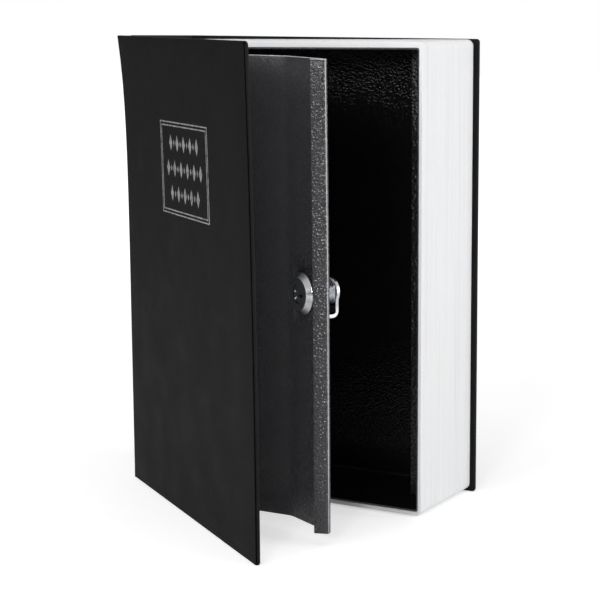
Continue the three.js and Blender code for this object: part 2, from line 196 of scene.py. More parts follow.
# %% Helpers for materials
def material(name, **plain):
    """A material with one shader, and the plain numbers of its sockets."""
    made = bpy.data.materials.new(name)
    made.use_nodes = True
    tree = made.node_tree
    tree.nodes.clear()
    shader = add(tree, "BsdfPrincipled", {socket.replace("_", " "): value for socket, value in plain.items()})
    add(tree, "OutputMaterial", {"Surface": shader.outputs[0]})
    return made, tree, shader


def raised(tree, shader, height, depth):
    """Fine relief in the shading alone; the depth is that from its low to its high places."""
    bump = add(tree, "Bump", {"Height": height, "Distance": depth, "Strength": 1.0})
    feed(tree, shader, Normal=bump.outputs[0])


# %% [markdown]
# Three effects come up on more than one finish, so each is a node group built once.
# Pebble grain is what an embossing roller leaves in leatherette: small rounded cells with creases between.
# Hammered enamel is a paint that draws itself into shallow dimples as it dries.
# Edge wear finds the edges by comparing a rounded normal with the true one, as handling rubs edges first.

# %% Shared node groups
def node_group(name, inputs, *outputs):
    tree = bpy.data.node_groups.new(name, "ShaderNodeTree")
    for socket, value in inputs.items():
        tree.interface.new_socket(socket, in_out="INPUT", socket_type="NodeSocketFloat").default_value = value
    for socket in outputs:
        tree.interface.new_socket(socket, in_out="OUTPUT", socket_type="NodeSocketFloat")
    start = tree.nodes.new("NodeGroupInput")
    return tree, start.outputs, tree.nodes.new("NodeGroupOutput")


def use_group(tree, group, **inputs):
    made = tree.nodes.new("ShaderNodeGroup")
    made.node_tree = group
    for socket, value in inputs.items():
        made.inputs[socket].default_value = value
    return made.outputs


def pebble_grain():
    tree, given, end = node_group("pebble_grain", {"Cells": 1300, "Patches": 60}, "Height", "Crease", "Patch")
    where = place_in(tree)
    warp = add(tree, "TexNoise", {"Vector": where, "Scale": 420, "Detail": 2}).outputs["Color"]
    shift = add(tree, "VectorMath", {0: warp, "Scale": 1.2 * mm}, operation="SCALE").outputs[0]
    moved = add(tree, "VectorMath", {0: where, 1: shift}, operation="ADD").outputs[0]
    cells = add(tree, "TexVoronoi", {"Vector": moved, "Scale": given["Cells"]}, feature="DISTANCE_TO_EDGE")
    to_edge = cells.outputs["Distance"]
    pebble = scaled(tree, to_edge, (0, 0.34), smooth=True)
    fine = noise(tree, where, 5200, 3)
    feed(tree, end, Height=computed(tree, "MULTIPLY_ADD", fine, 0.25, pebble),
         Crease=scaled(tree, to_edge, (0.05, 0.3), (1, 0)), Patch=noise(tree, where, given["Patches"], 4))
    return tree


def hammered_enamel():
    tree, given, end = node_group("hammered_enamel", {"Dimples": 520}, "Height", "Rim", "Fleck")
    where = place_in(tree)
    dimples = add(tree, "TexVoronoi", {"Vector": where, "Scale": given["Dimples"]}).outputs["Distance"]
    bowl = scaled(tree, dimples, (0.2, 0.85), smooth=True)
    ripple = noise(tree, where, 900, 2)
    feed(tree, end, Height=computed(tree, "MULTIPLY_ADD", ripple, 0.25, bowl), Rim=bowl,
         Fleck=noise(tree, where, 6500, 1))
    return tree


def edge_wear():
    tree, given, end = node_group("edge_wear", {"Width": 0.6 * mm, "Breakup": 500}, "Wear")
    rounded = add(tree, "Bevel", {"Radius": given["Width"]}, samples=4).outputs[0]
    true_normal = add(tree, "NewGeometry").outputs["Normal"]
    worn = scaled(tree, toward(tree, rounded, true_normal), (1, 0.9), smooth=True)
    broken = noise(tree, place_in(tree), given["Breakup"], 3)
    feed(tree, end, Wear=computed(tree, "MULTIPLY", worn, scaled(tree, broken, (0.38, 0.62), (0.15, 1))))
    return tree


grain_group = pebble_grain()
hammer_group = hammered_enamel()
wear_group = edge_wear()
print("node groups:", [group.name for group in bpy.data.node_groups])

# %% [markdown]
# Leatherette is paper or cloth with an embossed plastic skin: almost black here, satin, and a touch
# paler where the edges of the boards are handled. Colour alone would look like painted card,
# so the pebble grain drives the bump and darkens the creases between the pebbles as painted shade,
# and larger patches vary the gloss.

# %% Leatherette
grain_cells = 1300
# The creased colour is painted shade in the creases between the pebbles.
raw_skin, crease_shade_skin = (0.0068, 0.0066, 0.0074), (0.004, 0.004, 0.0045)
scuffed_skin, worn_skin = (0.011, 0.0108, 0.012), (0.024, 0.024, 0.026)


def leatherette(name, level, gloss):
    """Black leatherette; a level below one darkens it, for painted shade along a fold."""
    made, tree, shader = material(name, Specular_IOR_Level=gloss)
    grain = use_group(tree, grain_group, Cells=grain_cells, Patches=45)
    wear = use_group(tree, wear_group, Width=0.9 * mm, Breakup=260)
    raw, crease_shade, scuffed, worn = ([level * part for part in colour]
                                   for colour in (raw_skin, crease_shade_skin, scuffed_skin, worn_skin))
    base = blended(tree, grain["Crease"], raw, crease_shade)
    patched = blended(tree, scaled(tree, grain["Patch"], (0.4, 0.7), (0, 0.5)), base, scuffed)
    feed(tree, shader, Base_Color=blended(tree, computed(tree, "MULTIPLY", wear["Wear"], 0.5), patched, worn),
         Roughness=uneven(tree, grain["Patch"], 0.5, 0.62))
    raised(tree, shader, grain["Height"], 0.07 * mm)
    return made


leather = leatherette("leatherette", 1.0, gloss=0.1)
# A darker, duller copy of the leatherette: painted shade along the fold of the cover's free edge.
fold_shade_leather = leatherette("leatherette_fold_painted_shade", 0.25, gloss=0.01)

# %% [markdown]
# The boards are greyboard, pulped paper with flecks, and only their edges could ever be seen. The
# endpapers are white, smooth, with a faint felt. They line the covers, and the door and the lock's
# bezel mirror the front one, so its whiteness shows in the photograph though the paper doesn't.

# %% Greyboard and endpaper
def paper(name, colour, fleck_colour, fibre_scale, roughness):
    made, tree, shader = material(name, Specular_IOR_Level=0.2)
    where = place_in(tree)
    fibres = noise(tree, where, fibre_scale, 6, Distortion=1.5)
    flecks = scaled(tree, noise(tree, where, fibre_scale * 2.5, 2), (0.55, 0.75), (0, 0.6))
    feed(tree, shader, Base_Color=blended(tree, flecks, colour, fleck_colour),
         Roughness=uneven(tree, fibres, roughness - 0.06, roughness + 0.06))
    raised(tree, shader, fibres, 0.04 * mm)
    return made


board = paper("greyboard", (0.27, 0.25, 0.22), (0.14, 0.13, 0.115), 900, roughness=0.85)
endpaper = paper("endpaper", (0.8, 0.79, 0.765), (0.72, 0.705, 0.67), 1400, roughness=0.75)

# %% [markdown]
# The page edges are one white moulding with fine lines that stand for cut pages. The lines are real
# ridges in the mesh; the material adds the faint grey streaks between them. The streaks run with the
# pages, so the noise is squeezed hard across them and stretched along them.

# %% Page plastic
def page_plastic():
    made, tree, shader = material("page_plastic", Specular_IOR_Level=0.3, Subsurface_Weight=0.06,
                                  Subsurface_Scale=2 * mm)
    where = place_in(tree)
    streaks = noise(tree, stretched(tree, where, (6, 900, 6)), 1, 4, Roughness=0.7)
    bands = noise(tree, stretched(tree, where, (10, 160, 10)), 1, 2)
    dark = computed(tree, "MULTIPLY", scaled(tree, streaks, (0.5, 0.75)),
                    scaled(tree, bands, (0.35, 0.65), (0.2, 1)))
    feed(tree, shader, Base_Color=blended(tree, dark, (0.86, 0.865, 0.875), (0.68, 0.69, 0.71)),
         Roughness=uneven(tree, bands, 0.42, 0.55))
    raised(tree, shader, streaks, 0.05 * mm)
    return made


page = page_plastic()

# %% [markdown]
# The steel is stove-enamelled in dark hammertone. The dimples are bump with a smooth, fairly glossy
# surface, so that each one throws its own small glint where a light is near, and stays dark elsewhere.
# The door is a cooler grey and smoother, and its lip glossier. The inside of the box, the strike angle
# and the lip get darker copies of the door's enamel as painted shade, the inside nearly black, and the
# strike angle is dimpled deepest. Two pale copies paint highlights on the cut head of the door and on
# the fold of its lip. The door's pale edge colour is wear and painted highlight, the box's dark one wear
# in painted shade. One function makes them all, from colour, gloss and depth.

# %% Hammertone enamel
fleck_grey = (0.16, 0.165, 0.175)
# The dark edge colour is wear in painted shade; the pale one is wear and a painted highlight.
wear_in_painted_shade, wear_and_painted_highlight = (0.05, 0.051, 0.053), (0.4, 0.4, 0.41)


def hammertone(name, colour, rim_colour, edge_colour, roughness, depth, gloss=0.5, dimples=520):
    """Enamel whose dimples, counted per metre, are as deep as the depth, with worn edges in the edge colour;
    on the door that colour is also a painted highlight, in the box a painted shade.
    """
    made, tree, shader = material(name, Specular_IOR_Level=gloss)
    hammer = use_group(tree, hammer_group, Dimples=dimples)
    wear = use_group(tree, wear_group, Width=0.4 * mm, Breakup=700)
    base = blended(tree, hammer["Rim"], colour, rim_colour)
    flecked = blended(tree, scaled(tree, hammer["Fleck"], (0.6, 0.72), (0, 0.12)), base, fleck_grey)
    worn = computed(tree, "MULTIPLY", wear["Wear"], 0.6)
    feed(tree, shader, Base_Color=blended(tree, worn, flecked, edge_colour),
         Roughness=scaled(tree, hammer["Rim"], (0, 1), (roughness, roughness + 0.14)))
    raised(tree, shader, hammer["Height"], depth)
    return made


# Darker copies of the door's enamel below are painted shade: the box's inside, the strike angle, the lip.
box_enamel_painted_shade = hammertone("box_enamel_painted_shade", (0.004, 0.0041, 0.0045), (0.003, 0.003, 0.0034), wear_in_painted_shade,
                        0.07, 0.14 * mm, gloss=0.55, dimples=780)
strike_enamel_painted_shade = hammertone("strike_enamel_painted_shade", (0.016, 0.016, 0.018), (0.012, 0.012, 0.014), wear_in_painted_shade,
                           0.18, 0.3 * mm)
door_enamel = hammertone("door_enamel", (0.039, 0.039, 0.045), (0.033, 0.033, 0.038), wear_and_painted_highlight,
                         0.24, 0.08 * mm)
# The lip's darker copy of the door's enamel is painted shade.
lip_enamel_painted_shade = hammertone("lip_enamel_painted_shade", (0.031, 0.031, 0.0355), (0.0255, 0.0255, 0.029), wear_and_painted_highlight,
                        0.07, 0.2 * mm, gloss=0.65, dimples=760)
# Pale copies that paint highlights: the cut head of the door and the fold of its lip.
head_edge_painted_highlight = hammertone("head_edge_painted_highlight", (0.75, 0.75, 0.76), (0.66, 0.66, 0.68), (0.85, 0.85, 0.86),
                       0.3, 0.03 * mm)
lip_fold_painted_highlight = hammertone("lip_fold_painted_highlight", (0.42, 0.42, 0.43), (0.34, 0.34, 0.35), (0.6, 0.6, 0.61),
                         0.3, 0.1 * mm)

# %% [markdown]
# The lock is die-cast and chromed, its face and plug are dark gunmetal, its barrel is dull, and the
# cam and its fittings are bright zinc plate. Plain metals look dead, so each has a soft unevenness in
# gloss and a faint bump, the zinc a deeper one than the chrome.

# %% Metals
def metal(name, colour, second_colour, roughness, spread, scale, depth, metallic=1.0):
    made, tree, shader = material(name, Metallic=metallic)
    where = place_in(tree)
    cloud = noise(tree, where, scale, 4)
    scratches = noise(tree, stretched(tree, where, (scale * 6, scale * 6, scale * 0.5)), 1, 2)
    wear = use_group(tree, wear_group, Width=0.25 * mm, Breakup=900)
    base = blended(tree, scaled(tree, cloud, (0.35, 0.65)), colour, second_colour)
    rubbed = [min(1, value * 1.35) for value in colour]
    feed(tree, shader, Base_Color=blended(tree, computed(tree, "MULTIPLY", wear["Wear"], 0.4), base, rubbed),
         Roughness=uneven(tree, scratches, roughness - spread, roughness + spread))
    raised(tree, shader, cloud, depth)
    return made


zinc = metal("zinc_plate", (0.58, 0.59, 0.61), (0.44, 0.46, 0.48), 0.2, 0.06, 500, 0.03 * mm)
barrel_metal = metal("barrel_plate", (0.2, 0.205, 0.22), (0.13, 0.135, 0.15), 0.2, 0.06, 500, 0.03 * mm)
chrome = metal("lock_chrome", (0.9, 0.91, 0.93), (0.84, 0.85, 0.87), 0.22, 0.04, 300, 0.01 * mm)
gunmetal = metal("gunmetal", (0.075, 0.08, 0.085), (0.055, 0.06, 0.064), 0.4, 0.08, 600, 0.02 * mm,
                 metallic=0.5)
# Near black and not metal: painted shade for the inside of the keyway.
keyway_painted_shade = metal("keyway_inside_painted_shade", (0.006, 0.006, 0.006), (0.01, 0.01, 0.01), 0.5, 0.1, 600, 0.02 * mm,
                    metallic=0.0)

# %% [markdown]
# The title frame is stamped in silver foil. Foil lies on top of the grain and misses the deepest
# creases, so its colour and metal are broken up by the same pebble grain as the leatherette.

# %% Silver foil
def silver_foil():
    made, tree, shader = material("silver_foil")
    grain = use_group(tree, grain_group, Cells=grain_cells, Patches=300)
    missed = computed(tree, "MULTIPLY", grain["Crease"], scaled(tree, grain["Patch"], (0.42, 0.62)))
    feed(tree, shader, Base_Color=blended(tree, missed, (0.52, 0.53, 0.54), (0.06, 0.06, 0.062)),
         Metallic=scaled(tree, missed, (0, 1), (0.75, 0)), Roughness=uneven(tree, grain["Patch"], 0.34, 0.5))
    raised(tree, shader, grain["Height"], 0.04 * mm)
    return made


foil = silver_foil()
print("materials:", len(bpy.data.materials))

# %% [markdown]
# Every piece is made alike: a mesh from points and faces, smooth but for its sharp edges, with a
# finish, the body it rides on and the imported nodes that it stands for. Points come in the order that
# is easiest to write, so the faces are turned outward afterwards.

# %% Helpers for pieces
smooth_below = math.radians(32)


def new_piece(name, shape, place, body, slot, finish, *nodes):
    """Makes a piece of points and faces, which rides on a body and stands for the nodes named last."""
    points, faces = shape
    mesh = bpy.data.meshes.new(name)
    mesh.from_pydata([place @ Vector(point) for point in points], [], faces)
    mesh.validate()
    mesh.shade_smooth()
    mesh.set_sharp_from_angle(angle=smooth_below)
    mesh.materials.append(finish)
    piece = bpy.data.objects.new(name, mesh)
    bpy.context.scene.collection.objects.link(piece)
    if body:
        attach(piece, body)
    if nodes:
        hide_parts(*nodes)
    print(f"{name}: {len(mesh.vertices)} points, {len(mesh.polygons)} faces")
    return piece


def facing_out(piece):
    """Turns the faces outward, judged by the signed volume of the mesh."""
    mesh = piece.data
    mesh.calc_loop_triangles()
    volume = 0
    for triangle in mesh.loop_triangles:
        first, second, third = (mesh.vertices[index].co for index in triangle.vertices)
        volume += first.dot(second.cross(third))
    if volume < 0:
        mesh.flip_normals()
    return piece


def finish_faces(piece, place, finishes, choose):
    """Gives each face one of the finishes; choose looks at the face's middle and direction in the place."""
    for finish in finishes[1:]:
        piece.data.materials.append(finish)
    back = place.inverted()
    for face in piece.data.polygons:
        chosen = choose(back @ face.center, back.to_3x3() @ face.normal)
        face.material_index = finishes.index(chosen)


# %% [markdown]
# Most pieces here are stacks of rings. A ring is an outline, such as a rectangle with round corners;
# the next ring is the same outline a little further in or out, and quads join the two. The first and
# last rings are closed with a face. That gives every plate, tray and board its rolled edges exactly,
# where a Bevel modifier would have to guess how wide an edge may be beside a thin wall.

# %% Helpers for rings
corner_steps = 8
least_radius = 0.05 * mm


def ring_stack(rings, looped=False):
    """Points and faces of a closed skin over rings that all have the same number of points."""
    count = len(rings[0])
    points = [point for ring in rings for point in ring]
    pairs = list(zip(range(len(rings)), range(1, len(rings))))
    if looped:
        pairs.append((len(rings) - 1, 0))
    faces = []
    for first, second in pairs:
        for step in range(count):
            after = (step + 1) % count
            faces.append((first * count + step, first * count + after,
                          second * count + after, second * count + step))
    if not looped:
        faces.append(tuple(reversed(range(count))))
        faces.append(tuple((len(rings) - 1) * count + step for step in range(count)))
    return points, faces


def rounded_rectangle(low, high, radii, inset=0.0):
    """Points of a rectangle whose right and left corners have the two radii, drawn in by the inset."""
    x0, z0, x1, z1 = low[0] + inset, low[1] + inset, high[0] - inset, high[1] - inset
    right, left = (max(radius - inset, least_radius) for radius in radii)
    corners = ((x1 - right, z0 + right, -90, right), (x1 - right, z1 - right, 0, right),
               (x0 + left, z1 - left, 90, left), (x0 + left, z0 + left, 180, left))
    outline = []
    for x, z, start, radius in corners:
        for step in range(corner_steps + 1):
            angle = math.radians(start + 90 * step / corner_steps)
            outline.append((x + radius * math.cos(angle), z + radius * math.sin(angle)))
    return outline


def plate_rings(low, high, radii, stations):
    """Rings of a plate that lies flat: one rectangle for each inset and depth."""
    return [[(x, depth, z) for x, z in rounded_rectangle(low, high, radii, inset)]
            for inset, depth in stations]


def quarter(radius, steps=5):
    """Inset and depth of a rolled edge, from the face to the side."""
    angles = [math.radians(90 * step / steps) for step in range(steps + 1)]
    return [(radius * (1 - math.sin(angle)), radius * (1 - math.cos(angle))) for angle in angles]


def rolled(radius, start, end, steps=5):
    """Inset and depth from one face of a plate to the other, with both edges rolled."""
    way = math.copysign(1, end - start)
    first = [(inset, start + way * depth) for inset, depth in quarter(radius, steps)]
    return first + [(inset, end - way * depth) for inset, depth in quarter(radius, steps)[::-1]]


def plan(point):
    """A point as seen from the front."""
    return point[0], point[2]


def between(first, second, share):
    """What lies a share of the way from the first to the second."""
    return first + (second - first) * share


def share_between(value, start, end):
    """How far a value has come from start to end, from 0 to 1."""
    return min(1, max(0, (value - start) / (end - start)))


# %% [markdown]
# Board that is wrapped on one side draws itself crooked as the glue dries. The cover's head curls
# outward, at the free edge over much of its height and at the joint only near the top. It isn't cut
# quite square either, so the head stands higher at the joint. Every layer of the cover is cut into
# bands first, as a face without inner points can't bend.

# %% Curl of the cover
cover_low, cover_high = extent("front_cover_wrap", cover_place)
free_curl, joint_curl = 3.4 * mm, 4.7 * mm
free_power, joint_power = 2.3, 8
joint_rise, free_rise, rise_power = 1.8 * mm, 0.8 * mm, 16
bands_up, bands_across = 28, 10


def cover_shares(across, up):
    """Where a point of the cover lies, from 0 to 1 across from the joint and up from the tail."""
    return share_between(across, cover_low.x, cover_high.x), share_between(up, cover_low.z, cover_high.z)


def curl_at(across, up):
    """How far the cover has drawn itself outward at a point of the board."""
    share_across, share_up = cover_shares(across, up)
    return between(joint_curl * share_up ** joint_power, free_curl * share_up ** free_power, share_across)


def rise_at(across, up):
    """How far a point near the head stands above its place on a square board."""
    share_across, share_up = cover_shares(across, up)
    return between(joint_rise, free_rise, share_across) * share_up ** rise_power


def curled(piece):
    """Cuts a layer of the cover into bands both ways, and bends it."""
    work = bmesh.new()
    work.from_mesh(piece.data)
    sideways = cover_place.to_3x3() @ Vector((1, 0, 0))
    cuts = [(Vector((0, 0, cover_high.z * step / bands_up)), Vector((0, 0, 1)))
            for step in range(1, bands_up)]
    cuts += [(cover_place @ Vector((cover_high.x * step / bands_across, 0, 0)), sideways)
             for step in range(1, bands_across)]
    for middle, normal in cuts:
        everything = [*work.verts, *work.edges, *work.faces]
        bmesh.ops.bisect_plane(work, geom=everything, plane_co=middle, plane_no=normal)
    back = cover_place.inverted()
    for point in work.verts:
        flat = back @ point.co
        curl, rise = curl_at(flat.x, flat.z), rise_at(flat.x, flat.z)
        point.co = cover_place @ (flat + Vector((0, -curl, rise)))
    work.to_mesh(piece.data)
    work.free()
    print("curled:", piece.name, len(piece.data.vertices), "points")
    return piece


# %% [markdown]
# A wrapped board is a thin skin of leatherette over a greyboard core. The skin goes over the face,
# rolls round the edges and is turned in by a few millimetres on the inside, where the endpaper covers
# what is left. The rings walk along that skin: outside first, round the edge, to the edge of the
# turn-in, and back along its inner side, so the skin has a real thickness and an open window.

# %% Wrapped boards
skin = 0.4 * mm
edge_roll = 1.0 * mm
turn_in = 5 * mm
board_corner, joint_corner = 2 * mm, 0.9 * mm


def wrapped_board(low, high, outer, inner, radii):
    """Rings of the skin of a board that lies flat between the depths outer and inner."""
    way = math.copysign(1, inner - outer)
    stations = rolled(edge_roll, outer, inner) + [
        (turn_in - skin / 4, inner), (turn_in, inner - way * skin / 4), (turn_in, inner - way * skin),
        (edge_roll, inner - way * skin), (skin, inner - way * edge_roll),
        (skin, outer + way * edge_roll), (edge_roll, outer + way * skin)]
    return ring_stack(plate_rings(low, high, radii, stations))


cover_shape = wrapped_board(plan(cover_low), plan(cover_high), cover_low.y, cover_high.y,
                            (board_corner, joint_corner))
cover_skin = curled(facing_out(new_piece("cover_leatherette", cover_shape, cover_place, "front_cover",
                                         "leatherette", leather, "front_cover_wrap")))

# %% [markdown]
# The free edge of the cover is rolled, and the part of the roll that looks half sideways gets the
# darker, duller leatherette: painted shade along the fold of the wrap. Those faces are found by
# their direction.

# %% Fold along the free edge
fold_from, fold_to = 0.55, 0.95


def cover_finish(middle, normal):
    return fold_shade_leather if normal.y < 0 and fold_from < normal.x < fold_to else leather


finish_faces(cover_skin, cover_place, (leather, fold_shade_leather), cover_finish)

# %% [markdown]
# Under the skin lie the flat layers: the greyboard inside it, and the endpaper on the inner face. Each
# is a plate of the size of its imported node. The endpaper is grown as far as the turned-in leatherette,
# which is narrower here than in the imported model.

# %% Greyboard and endpaper of the cover
layer_roll = 0.1 * mm
greyboard_corner, endpaper_corner = 1.3 * mm, 0.6 * mm
paper_gap = 0.1 * mm
paper_grown = extent("front_endpaper", cover_place)[0].x - cover_low.x - turn_in - paper_gap


def flat_layer(name, node, place, body, slot, finish, corner, grown=0.0):
    """A plate with rolled edges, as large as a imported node, or grown a little on all sides."""
    low, high = extent(node, place)
    spread = Vector((grown, 0, grown))
    rings = plate_rings(plan(low - spread), plan(high + spread), (corner, corner),
                        rolled(layer_roll, low.y, high.y, 3))
    return facing_out(new_piece(name, ring_stack(rings), place, body, slot, finish, node))


curled(flat_layer("cover_greyboard", "front_cover_board", cover_place, "front_cover",
                  "greyboard", board, greyboard_corner))
curled(flat_layer("cover_endpaper", "front_endpaper", cover_place, "front_cover",
                  "endpaper", endpaper, endpaper_corner, paper_grown))
print("endpaper grown by", round(paper_grown / mm, 2), "mm to the turned-in leatherette")

# %% [markdown]
# The back cover is wrapped in the same way, but it is glued to the box and stays flat. Its head was
# cut a little out of square: in the photograph it stands higher at the spine and falls toward the
# fore-edge. Only the points near the head move, so the foot still stands level.

# %% Back cover
book_low, book_high = extent("back_and_spine_wrap", book_place)
back_inner = extent("back_endpaper", book_place)[0].y
back_rises = (0.75 * mm, -1.25 * mm)


def out_of_square(piece, place, length, rises):
    """Lets the head of a board run out of square, from the first rise to the second over its length."""
    back = place.inverted()
    for vertex in piece.data.vertices:
        flat = back @ vertex.co
        share_up = share_between(flat.z, 0, book_high.z)
        flat.z += between(*rises, share_between(flat.x, 0, length)) * share_up ** rise_power
        vertex.co = place @ flat


back_shape = wrapped_board(plan(book_low), plan(book_high), book_high.y, back_inner,
                           (board_corner, joint_corner))
back_skin = facing_out(new_piece("back_leatherette", back_shape, book_place, "book_body",
                                 "leatherette", leather, "back_and_spine_wrap"))
back_board = flat_layer("back_greyboard", "back_cover_board", book_place, "book_body",
                        "greyboard", board, greyboard_corner)
for layer in (back_skin, back_board):
    out_of_square(layer, book_place, book_high.x, back_rises)

# %% [markdown]
# The spine is the same kind of board, standing on edge between the two covers. It is drawn flat, with
# its length as depth, and turned into place. Its rolled edge meets that of the back board in a shallow
# groove, as the sheet is pressed into the joint of any case-bound book. Its head runs from the height
# of the front cover's to the height of the back's.

# %% Spine
spine_place = book_place @ Matrix.Rotation(math.radians(90), 4, "Z") @ Matrix.Scale(-1, 4, (0, 1, 0))
spine_shape = wrapped_board((book_low.y, book_low.z), (back_inner, book_high.z), 0, book_high.y - back_inner,
                            (joint_corner, joint_corner))
spine_skin = facing_out(new_piece("spine_leatherette", spine_shape, spine_place, "book_body",
                                  "leatherette", leather, "back_and_spine_wrap"))
out_of_square(spine_skin, spine_place, back_inner, (joint_rise, back_rises[0]))

# %% [markdown]
# Between the spine and the front cover the leatherette is alone, and bends as the cover opens. It is
# a curved strip. Its points start at the spine and end at the cover as it stands here, and turn
# smoothly in between.

# %% Joint cloth
cover_turn = Matrix.Rotation(math.radians(cover_joint["range_deg"][0]), 2)
cloth_steps, cloth_bands = 16, 20
cloth_bulge, cloth_lead = 2.3 * mm, 2.2 * mm


def cubic(start, first, second, end, share):
    rest = 1 - share
    return (start * rest ** 3 + first * 3 * rest ** 2 * share + second * 3 * rest * share ** 2
            + end * share ** 3)


def joint_section(height):
    """Section of the strip at one height; its far end follows the curl of the cover there."""
    spine_edge = Vector((skin / 2, book_low.y + edge_roll))
    face = cover_low.y + skin / 2 - curl_at(cover_low.x, height)
    cover_edge = cover_turn @ Vector((cover_low.x + edge_roll, face))
    ends = (spine_edge, spine_edge - Vector((0, cloth_bulge)),
            cover_edge - cover_turn @ Vector((cloth_lead, 0)), cover_edge)
    curve = [cubic(*ends, step / cloth_steps) for step in range(cloth_steps + 1)]
    left, right = [], []
    for index, point in enumerate(curve):
        ahead = curve[min(index + 1, cloth_steps)] - curve[max(index - 1, 0)]
        normal = Vector((-ahead.y, ahead.x)).normalized() * skin / 2
        left.append(point + normal)
        right.append(point - normal)
    level = height + rise_at(cover_low.x, height)
    return [(point.x, point.y, level) for point in left + right[::-1]]


cloth_heights = [between(skin / 2, book_high.z - skin / 2, band / cloth_bands)
                 for band in range(cloth_bands + 1)]
cloth_shape = ring_stack([joint_section(height) for height in cloth_heights])
joint_cloth = facing_out(new_piece("joint_leatherette", cloth_shape, book_place, None,
                                   "leatherette", leather, "front_joint_cloth"))
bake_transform(joint_cloth)

# %% [markdown]
# The cover carries a frame in silver foil: a double rule on all sides, round three rows of plain
# lozenges, a common printer's ornament. Foil has almost no height, but modelled bars with a soft edge
# catch light as the real ones do.

# %% Title frame
foil_height, foil_edge, foil_corner = 0.06 * mm, 0.12 * mm, 0.1 * mm
frame_width, frame_height = 73.9 * mm, 51.2 * mm
frame_from_head, frame_shift = 44.2 * mm, 4.4 * mm
rule_count, rule_width, rule_pitch = 2, 0.75 * mm, 1.9 * mm
lozenge_pitch, row_pitch = 5.1 * mm, 13.9 * mm
large_half, small_half = (2.5 * mm, 4.6 * mm), (1.1 * mm, 2.0 * mm)
lozenge_top_share = 0.82
lozenge_rows = ((1, 9), (0, 11), (-1, 9))
foil_face = cover_low.y
frame_middle = Vector((cover_high.x / 2 + frame_shift, cover_high.z - frame_from_head - frame_height / 2))


def foil_ring(width, height):
    """A rectangular ring of foil: outer edge, top, inner edge, and a foot sunk in the leatherette."""
    stations = [(inset, foil_face - lift) for inset, lift in (
        (0, 0), (foil_edge, foil_height), (rule_width - foil_edge, foil_height), (rule_width, 0),
        (rule_width, -foil_height), (0, -foil_height))]
    corner = Vector((width / 2, height / 2))
    return ring_stack(plate_rings(frame_middle - corner, frame_middle + corner, (foil_corner, foil_corner),
                                  stations), looped=True)


def lozenge(across, up, half):
    layers = ((1, -foil_height), (1, 0), (lozenge_top_share, foil_height))
    return ring_stack([[(across + share * half[0] * x, foil_face - lift, up + share * half[1] * z)
                        for x, z in ((1, 0), (0, 1), (-1, 0), (0, -1))] for share, lift in layers])


def merged(parts):
    points, faces = [], []
    for part_points, part_faces in parts:
        start = len(points)
        points += part_points
        faces += [tuple(start + index for index in face) for face in part_faces]
    return points, faces


foil_parts = [foil_ring(frame_width - 2 * step * rule_pitch, frame_height - 2 * step * rule_pitch)
              for step in range(rule_count)]
for row, count in lozenge_rows:
    for index in range(count):
        across = frame_middle.x + (index - (count - 1) / 2) * lozenge_pitch
        half = small_half if index % 2 else large_half
        foil_parts.append(lozenge(across, frame_middle.y + row * row_pitch, half))
curled(new_piece("cover_title_frame", merged(foil_parts), cover_place, "front_cover", None, foil))

# %% [markdown]
# The page edges are a strip that runs along head, fore-edge and tail. Its rings follow each other from
# front to back, three for each page line: one at each side of a narrow groove and one in its bottom.
# Cut pages never lie even, so the pitch and depth of the grooves come from a seeded random draw.

# %% Page edges
page_low, page_high = extent("page_block", book_place)
tray_low, tray_high = extent("steel_box", book_place)
page_corner, page_inner_corner = 4 * mm, 1.4 * mm
page_gap = 0.1 * mm
page_roll = 0.5 * mm
first_line, last_line = 0.5 * mm, 1.2 * mm
least_pitch, most_pitch = 0.45, 1.0
least_depth, most_depth, deep_line = 0.015, 0.06, 0.11 * mm
deep_line_share = 0.12
groove_middle_share, groove_end_share = 0.12, 0.24


def page_lines():
    """Depth and height of the page surface, from the front edge to the back."""
    draw = random.Random(11)
    profile = [(page_low.y + depth, -inset) for inset, depth in quarter(page_roll, 3)]
    place = page_low.y + page_roll + first_line
    while place < page_high.y - last_line:
        pitch = draw.uniform(least_pitch, most_pitch) * mm
        groove = draw.uniform(least_depth, most_depth) * mm
        if draw.random() < deep_line_share:
            groove = deep_line
        profile += [(place, 0.0), (place + pitch * groove_middle_share, -groove),
                    (place + pitch * groove_end_share, 0.0)]
        place += pitch
    profile.append((page_high.y, 0.0))
    return profile


def open_to_spine(outline):
    """Cuts an outline's left corners away and runs its two ends on to the spine side."""
    kept = [point for point in outline if point[0] > page_low.x + page_corner]
    return [(page_low.x, kept[0][1]), *kept, (page_low.x, kept[-1][1])]


def page_ring(depth, rise):
    """The strip seen from the front: its outer edge, then its inner edge back again."""
    outer = rounded_rectangle(plan(page_low), plan(page_high), (page_corner, least_radius), -rise)
    inner = rounded_rectangle((page_low.x, tray_low.z - page_gap),
                              (tray_high.x + page_gap, tray_high.z + page_gap),
                              (page_inner_corner, least_radius))
    return [(x, depth, z) for x, z in open_to_spine(outer) + open_to_spine(inner)[::-1]]


facing_out(new_piece("page_edges", ring_stack([page_ring(*line) for line in page_lines()]), book_place,
                     "book_body", "page_plastic", page, "page_block"))

# %% [markdown]
# The box is a tray folded from sheet steel. Its rings go over the outer walls, across the rim, and
# down the inner walls to the floor, with a rolled rim and a small radius at the floor, so that the
# enamel has soft edges to catch light on. The rim has the door's enamel, and the rest a far darker
# copy of it as painted shade.

